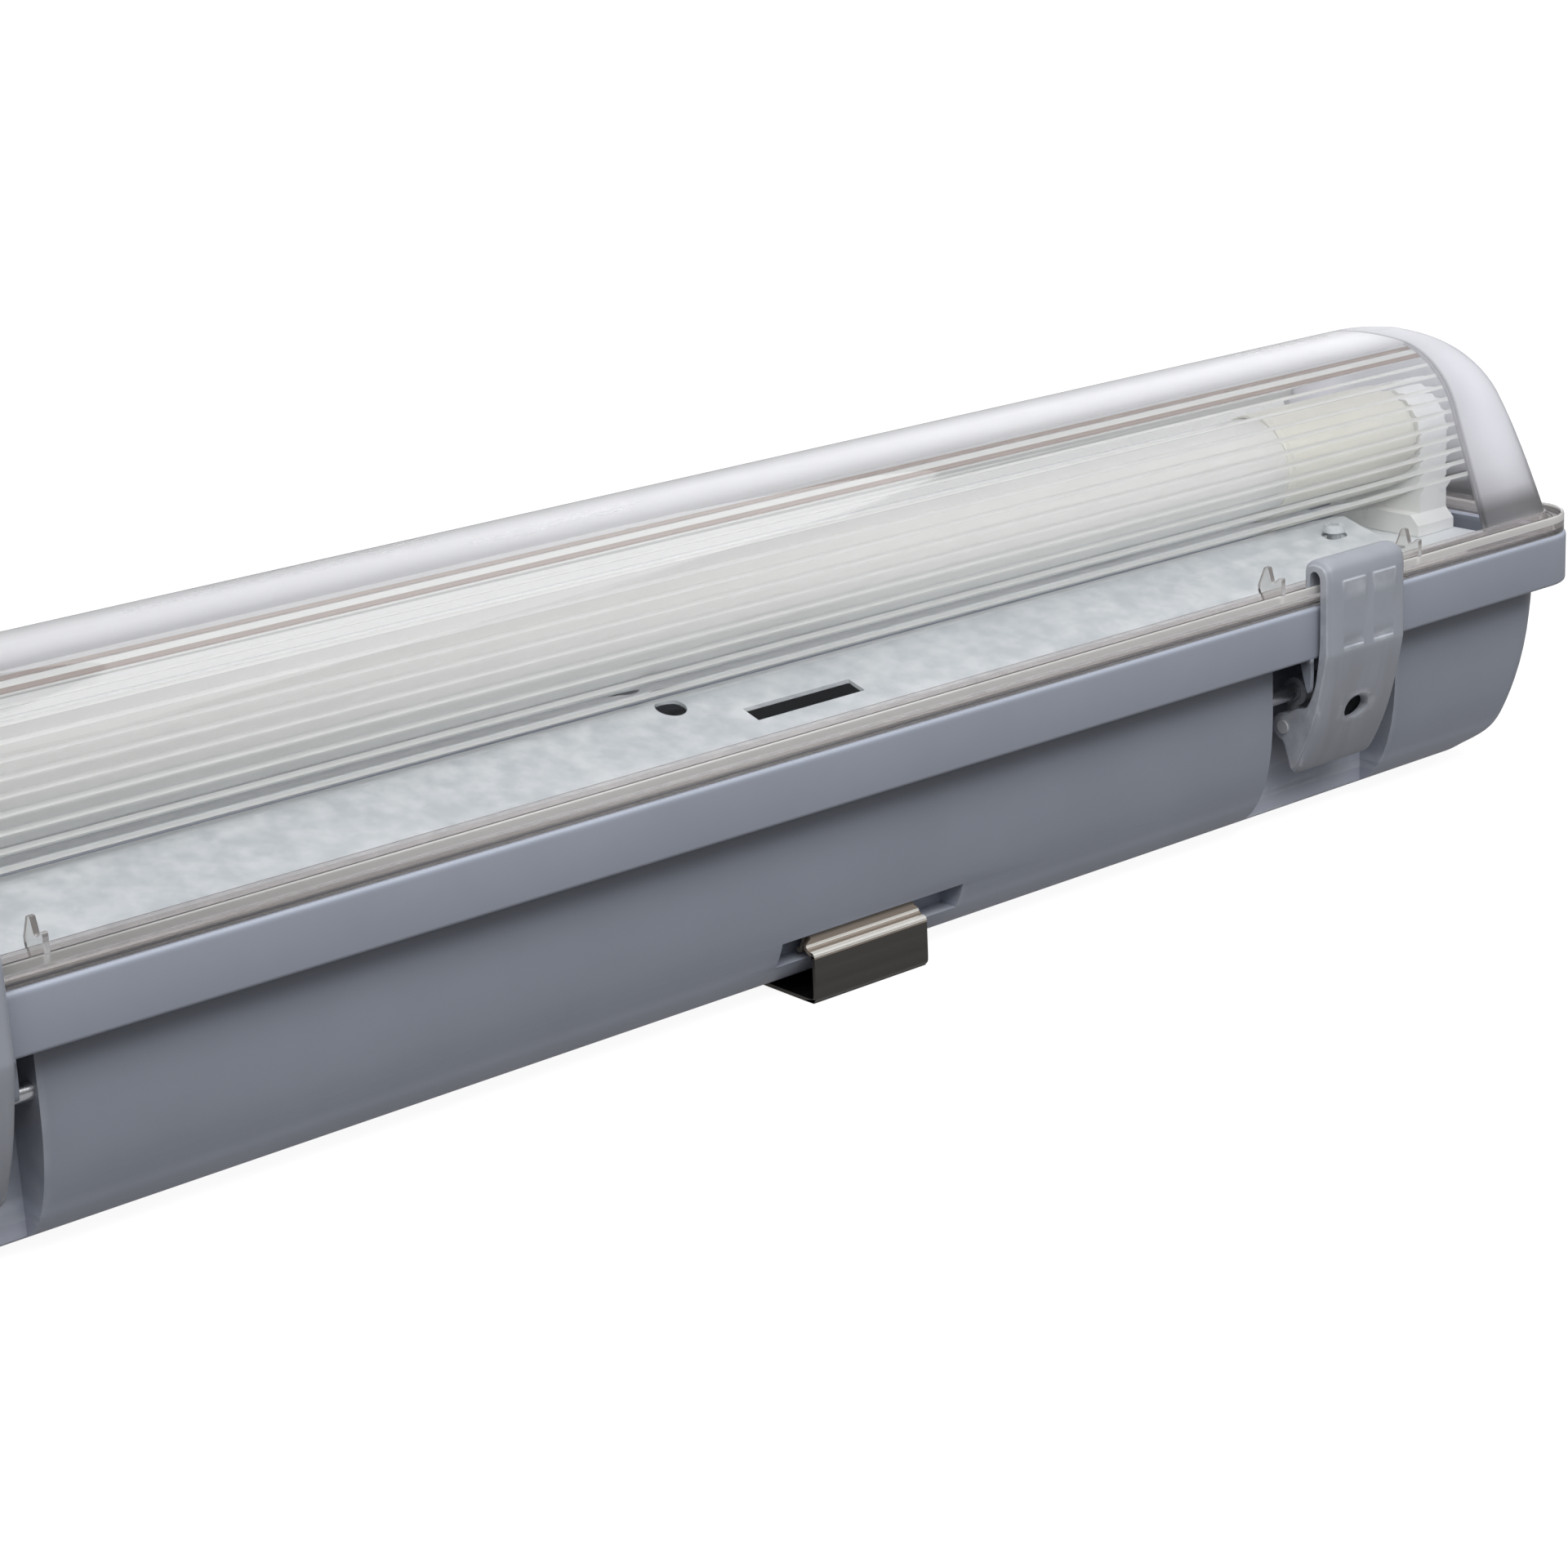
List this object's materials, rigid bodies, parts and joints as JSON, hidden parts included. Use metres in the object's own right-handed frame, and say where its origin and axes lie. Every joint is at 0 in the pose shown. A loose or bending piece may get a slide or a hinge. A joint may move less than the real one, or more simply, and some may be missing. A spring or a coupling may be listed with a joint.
{
  "type": "vapor tight light fixture",
  "caption": "Long sealed batten light with a grey housing, clear ribbed diffuser, toggle latches, gear tray, tube in rotary holders and sprung steel mounting clips.",
  "frame": {"origin": "middle of the footprint at the underside of the two mounting clips", "axes": "+X along the fixture towards the end seen in the picture, -Y the long side seen in the picture, +Z out through the diffuser; under a ceiling the part is turned over"},
  "size_m": [1.25, 0.0974, 0.1044],
  "materials": {
    "housing_grey": "fine satin moulding",
    "clear_pc": "clear polycarbonate with lengthwise ribs, satin ends",
    "latch_grey": "satin moulding",
    "foam_seal": "closed-cell foam",
    "white_enamel": "semi-gloss white stoved enamel on steel",
    "zinc_steel": "zinc plated",
    "white_plastic": "moulded white plastic",
    "brass_plated": "plated brass",
    "wire_brown": "insulation",
    "wire_blue": "insulation",
    "wire_green": "insulation, green with a yellow stripe",
    "rubber_black": "soft moulded rubber",
    "stainless": "brushed stainless spring steel",
    "tube_opal": "opal white tube",
    "cap_cream": "warm white moulded cap",
    "board_white": "white solder mask on aluminium",
    "led_yellow": "phosphor",
    "board_green": "circuit board"
  },
  "bodies": {
    "root": {"housing": "housing_grey", "gasket": "foam_seal", "diffuser": "clear_pc", "gear_tray": "white_enamel", "tray_screws": "zinc_steel", "lampholder_bracket_left": "white_enamel", "lampholder_bracket_right": "white_enamel", "lampholder_left": "white_plastic", "lampholder_right": "white_plastic", "terminal_block": "white_plastic", "terminal_screws": "brass_plated", "earth_screw": "zinc_steel", "wire_live": "wire_brown", "wire_neutral": "wire_blue", "wire_earth": "wire_green", "cable_grommet_left": "rubber_black", "cable_grommet_right": "rubber_black", "mount_clip_left": "stainless", "mount_clip_right": "stainless", "latch_axles": "zinc_steel"},
    "tube": {"tube_shell": "tube_opal", "tube_cap_left": "cap_cream", "tube_cap_right": "cap_cream", "tube_pins": "brass_plated", "led_board": "board_white", "led_chips": "led_yellow", "led_driver": "board_green", "rotor_left": "white_plastic", "rotor_right": "white_plastic"},
    "link_front_1": {"latch_link_front_1": "latch_grey"},
    "lever_front_1": {"latch_lever_front_1": "latch_grey", "latch_pin_front_1": "zinc_steel"},
    "link_front_2": {"latch_link_front_2": "latch_grey"},
    "lever_front_2": {"latch_lever_front_2": "latch_grey", "latch_pin_front_2": "zinc_steel"},
    "link_front_3": {"latch_link_front_3": "latch_grey"},
    "lever_front_3": {"latch_lever_front_3": "latch_grey", "latch_pin_front_3": "zinc_steel"},
    "link_front_4": {"latch_link_front_4": "latch_grey"},
    "lever_front_4": {"latch_lever_front_4": "latch_grey", "latch_pin_front_4": "zinc_steel"},
    "link_back_1": {"latch_link_back_1": "latch_grey"},
    "lever_back_1": {"latch_lever_back_1": "latch_grey", "latch_pin_back_1": "zinc_steel"},
    "link_back_2": {"latch_link_back_2": "latch_grey"},
    "lever_back_2": {"latch_lever_back_2": "latch_grey", "latch_pin_back_2": "zinc_steel"},
    "link_back_3": {"latch_link_back_3": "latch_grey"},
    "lever_back_3": {"latch_lever_back_3": "latch_grey", "latch_pin_back_3": "zinc_steel"},
    "link_back_4": {"latch_link_back_4": "latch_grey"},
    "lever_back_4": {"latch_lever_back_4": "latch_grey", "latch_pin_back_4": "zinc_steel"}
  },
  "joints": [
    {"name": "latch_toggle_front_1", "type": "hinge", "parent": "root", "child": "link_front_1", "pos_m": [-0.54, -0.0362, 0.0346], "axis": [-1, 0, 0], "range_deg": [0, 80]},
    {"name": "latch_hook_front_1", "type": "hinge", "parent": "link_front_1", "child": "lever_front_1", "pos_m": [-0.54, -0.0347, 0.0263], "axis": [-1, 0, 0], "range_deg": [-62.1, 0]},
    {"name": "latch_toggle_front_2", "type": "hinge", "parent": "root", "child": "link_front_2", "pos_m": [-0.18, -0.0362, 0.0346], "axis": [-1, 0, 0], "range_deg": [0, 80]},
    {"name": "latch_hook_front_2", "type": "hinge", "parent": "link_front_2", "child": "lever_front_2", "pos_m": [-0.18, -0.0347, 0.0263], "axis": [-1, 0, 0], "range_deg": [-62.1, 0]},
    {"name": "latch_toggle_front_3", "type": "hinge", "parent": "root", "child": "link_front_3", "pos_m": [0.18, -0.0362, 0.0346], "axis": [-1, 0, 0], "range_deg": [0, 80]},
    {"name": "latch_hook_front_3", "type": "hinge", "parent": "link_front_3", "child": "lever_front_3", "pos_m": [0.18, -0.0347, 0.0263], "axis": [-1, 0, 0], "range_deg": [-62.1, 0]},
    {"name": "latch_toggle_front_4", "type": "hinge", "parent": "root", "child": "link_front_4", "pos_m": [0.54, -0.0362, 0.0346], "axis": [-1, 0, 0], "range_deg": [0, 80]},
    {"name": "latch_hook_front_4", "type": "hinge", "parent": "link_front_4", "child": "lever_front_4", "pos_m": [0.54, -0.0347, 0.0263], "axis": [-1, 0, 0], "range_deg": [-62.1, 0]},
    {"name": "latch_toggle_back_1", "type": "hinge", "parent": "root", "child": "link_back_1", "pos_m": [-0.54, 0.0362, 0.0346], "axis": [1, 0, 0], "range_deg": [0, 80]},
    {"name": "latch_hook_back_1", "type": "hinge", "parent": "link_back_1", "child": "lever_back_1", "pos_m": [-0.54, 0.0347, 0.0263], "axis": [1, 0, 0], "range_deg": [-62.1, 0]},
    {"name": "latch_toggle_back_2", "type": "hinge", "parent": "root", "child": "link_back_2", "pos_m": [-0.18, 0.0362, 0.0346], "axis": [1, 0, 0], "range_deg": [0, 80]},
    {"name": "latch_hook_back_2", "type": "hinge", "parent": "link_back_2", "child": "lever_back_2", "pos_m": [-0.18, 0.0347, 0.0263], "axis": [1, 0, 0], "range_deg": [-62.1, 0]},
    {"name": "latch_toggle_back_3", "type": "hinge", "parent": "root", "child": "link_back_3", "pos_m": [0.18, 0.0362, 0.0346], "axis": [1, 0, 0], "range_deg": [0, 80]},
    {"name": "latch_hook_back_3", "type": "hinge", "parent": "link_back_3", "child": "lever_back_3", "pos_m": [0.18, 0.0347, 0.0263], "axis": [1, 0, 0], "range_deg": [-62.1, 0]},
    {"name": "latch_toggle_back_4", "type": "hinge", "parent": "root", "child": "link_back_4", "pos_m": [0.54, 0.0362, 0.0346], "axis": [1, 0, 0], "range_deg": [0, 80]},
    {"name": "latch_hook_back_4", "type": "hinge", "parent": "link_back_4", "child": "lever_back_4", "pos_m": [0.54, 0.0347, 0.0263], "axis": [1, 0, 0], "range_deg": [-62.1, 0]},
    {"name": "tube_turn", "type": "hinge", "parent": "root", "child": "tube", "pos_m": [0, 0, 0.078], "axis": [1, 0, 0], "range_deg": [0, 90]}
  ],
  "couplings": [
    {"joint": "latch_hook_front_1", "follows": "latch_toggle_front_1", "ratio": -0.775},
    {"joint": "latch_hook_front_2", "follows": "latch_toggle_front_2", "ratio": -0.775},
    {"joint": "latch_hook_front_3", "follows": "latch_toggle_front_3", "ratio": -0.775},
    {"joint": "latch_hook_front_4", "follows": "latch_toggle_front_4", "ratio": -0.775},
    {"joint": "latch_hook_back_1", "follows": "latch_toggle_back_1", "ratio": -0.775},
    {"joint": "latch_hook_back_2", "follows": "latch_toggle_back_2", "ratio": -0.775},
    {"joint": "latch_hook_back_3", "follows": "latch_toggle_back_3", "ratio": -0.775},
    {"joint": "latch_hook_back_4", "follows": "latch_toggle_back_4", "ratio": -0.775}
  ]
}
